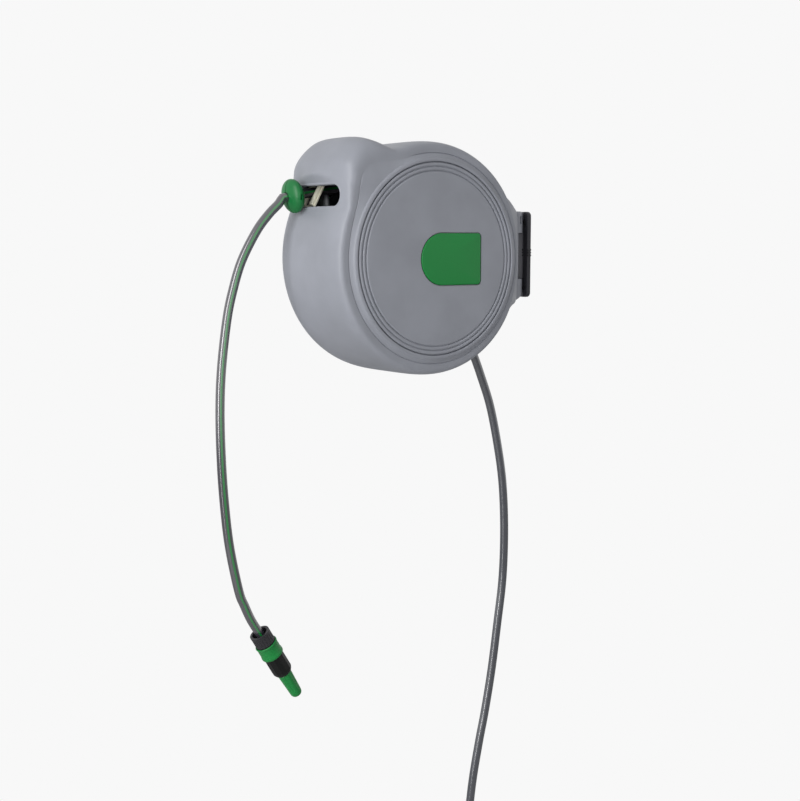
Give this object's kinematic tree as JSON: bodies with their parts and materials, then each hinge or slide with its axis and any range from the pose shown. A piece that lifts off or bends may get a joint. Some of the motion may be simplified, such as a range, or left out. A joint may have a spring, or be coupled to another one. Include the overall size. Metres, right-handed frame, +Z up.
{
  "type": "wall-mounted hose reel",
  "caption": "Round closed hose reel on a swivelling wall bracket, with spring rewind, level-wind guide, hose stop and a hanging hose with quick connector and nozzle.",
  "frame": {"origin": "on the wall plane, on the bracket's back face, level with the drum's axis, in the middle plane", "axes": "+Y into the wall, +Z up, +X along the drum's axis towards the badge side"},
  "size_m": [0.1661, 0.5182, 1.1984],
  "materials": {
    "grey_plastic": "fine grain, satin",
    "black_plastic": "satin",
    "dark_plastic": "satin",
    "green_plastic": "semi-gloss",
    "ivory_plastic": "satin",
    "natural_nylon": "satin",
    "zinc_steel": "zinc plated",
    "brass": "machined",
    "black_rubber": "matte",
    "grey_hose": "satin, green stripes along it",
    "dark_hose": "satin"
  },
  "bodies": {
    "bracket": {"wall_bracket": "black_plastic"},
    "pin": {"pivot_pin": "zinc_steel"},
    "housing": {"housing_left": "grey_plastic", "housing_right": "grey_plastic", "housing_screw_1": "zinc_steel", "housing_screw_2": "zinc_steel", "housing_screw_3": "zinc_steel", "housing_screw_4": "zinc_steel", "pivot_bush_upper": "natural_nylon", "pivot_bush_lower": "natural_nylon", "side_cover_left": "grey_plastic", "side_cover_right": "grey_plastic", "badge": "green_plastic", "axle": "zinc_steel", "inlet_spigot": "brass", "seal_ring_1": "black_rubber", "seal_ring_2": "black_rubber", "inlet_pipe": "black_plastic", "feed_gland": "black_plastic", "guide_rod": "zinc_steel", "idler_pin": "zinc_steel", "pawl_pin": "zinc_steel", "feed_hose": "dark_hose", "feed_coil": "dark_hose", "coil_tie_front": "black_plastic", "coil_tie_bottom": "black_plastic", "tap_nut": "black_plastic", "tap_body": "black_plastic", "tap_collar": "green_plastic"},
    "drum": {"drum_core": "dark_plastic", "flange_left": "dark_plastic", "flange_right": "dark_plastic", "bush_left": "brass", "bush_right": "brass", "water_tube": "natural_nylon", "winding_core": "grey_hose", "hose_winding": "grey_hose", "power_spring": "zinc_steel", "drum_gear": "natural_nylon", "ratchet_wheel": "dark_plastic"},
    "pawl": {"ratchet_pawl": "dark_plastic"},
    "idler": {"idler_gear": "natural_nylon"},
    "screw": {"screw_gear": "natural_nylon", "lead_screw": "zinc_steel"},
    "guide": {"carriage": "ivory_plastic", "hose_lead": "grey_hose", "hose_stop_left": "green_plastic", "hose_stop_right": "green_plastic", "stop_screw": "zinc_steel", "hanging_hose": "grey_hose", "connector_nut": "black_plastic", "connector_body": "black_plastic"},
    "roller_left": {"guide_roller_left": "ivory_plastic"},
    "roller_right": {"guide_roller_right": "ivory_plastic"},
    "collar": {"connector_collar": "green_plastic"},
    "spray_nozzle": {"nozzle": "green_plastic"}
  },
  "joints": [
    {"name": "pin_lift", "type": "slide", "parent": "bracket", "child": "pin", "axis": [0, 0, 1], "range_m": [0, 0.126]},
    {"name": "swivel", "type": "hinge", "parent": "bracket", "child": "housing", "pos_m": [0, -0.031, 0], "axis": [0, 0, 1], "range_deg": [-45, 45]},
    {"name": "drum_spin", "type": "hinge", "parent": "housing", "child": "drum", "pos_m": [0, -0.2268, 0], "axis": [1, 0, 0], "range_deg": [0, 2295], "stiffness_Nm_per_rad": 0.02, "springref_deg": -572.96},
    {"name": "pawl_swing", "type": "hinge", "parent": "housing", "child": "pawl", "pos_m": [-0.054, -0.2888, 0.04], "axis": [1, 0, 0], "range_deg": [0, 8]},
    {"name": "idler_spin", "type": "hinge", "parent": "housing", "child": "idler", "pos_m": [0.0694, -0.29751, 0.07071], "axis": [1, 0, 0], "range_deg": [-2415, 0]},
    {"name": "screw_spin", "type": "hinge", "parent": "housing", "child": "screw", "pos_m": [0, -0.34347, 0.11667], "axis": [1, 0, 0], "range_deg": [0, 7240]},
    {"name": "guide_slide", "type": "slide", "parent": "housing", "child": "guide", "axis": [1, 0, 0], "range_m": [0, 0.0855]},
    {"name": "roller_left_spin", "type": "hinge", "parent": "guide", "child": "roller_left", "pos_m": [-0.0488, -0.36756, 0.07447], "axis": [0, 0.4854, 0.8743], "continuous": true},
    {"name": "roller_right_spin", "type": "hinge", "parent": "guide", "child": "roller_right", "pos_m": [-0.0272, -0.36756, 0.07447], "axis": [0, 0.4854, 0.8743], "continuous": true},
    {"name": "collar_slide", "type": "slide", "parent": "guide", "child": "collar", "axis": [0, -0.515, 0.8572], "range_m": [0, 0.004], "stiffness_N_per_m": 300},
    {"name": "nozzle_twist", "type": "hinge", "parent": "guide", "child": "spray_nozzle", "pos_m": [-0.038, -0.41456, -0.59663], "axis": [0, 0.515, -0.8572], "range_deg": [0, 270]}
  ],
  "couplings": [
    {"joint": "idler_spin", "follows": "drum_spin", "ratio": -1.0513},
    {"joint": "screw_spin", "follows": "drum_spin", "ratio": 3.1538},
    {"joint": "guide_slide", "follows": "drum_spin", "m_per_rad": 0.0021327}
  ]
}
